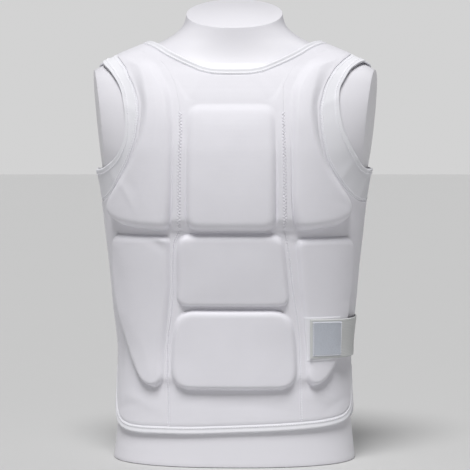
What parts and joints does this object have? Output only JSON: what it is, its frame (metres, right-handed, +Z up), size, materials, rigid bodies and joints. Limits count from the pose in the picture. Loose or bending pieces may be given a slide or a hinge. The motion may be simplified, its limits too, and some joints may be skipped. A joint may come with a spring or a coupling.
{
  "type": "karate chest protector on a limbless dress form",
  "caption": "Padded sleeveless body protector for karate, with raised foam pads, bound edges and an elastic side strap, worn on a smooth limbless dress form.",
  "frame": {"origin": "middle of the dress form's flat underside, on the surface it stands on", "axes": "+Z up, the chest faces -Y, and the wearer's left is towards +X"},
  "size_m": [0.3864, 0.2493, 0.6203],
  "materials": {
    "form": "smooth satin white",
    "padded_cloth": "smooth white synthetic cloth over foam",
    "plain_cloth": "plain white stretch cloth",
    "binding": "folded white tape",
    "elastic": "ribbed off-white elastic",
    "loop_pile": "brushed grey-blue loop pile"
  },
  "bodies": {
    "root": {"dress_form": "form", "front_centre_panel": "padded_cloth", "front_left_panel": "padded_cloth", "front_right_panel": "padded_cloth", "back_panel": "plain_cloth", "armhole_band_left": "plain_cloth", "armhole_band_right": "plain_cloth", "neck_binding": "binding", "front_hem_binding": "binding", "back_hem_binding": "binding", "waist_strap": "elastic", "strap_loop_patch": "loop_pile", "strap_landing_tab": "plain_cloth"}
  },
  "joints": []
}
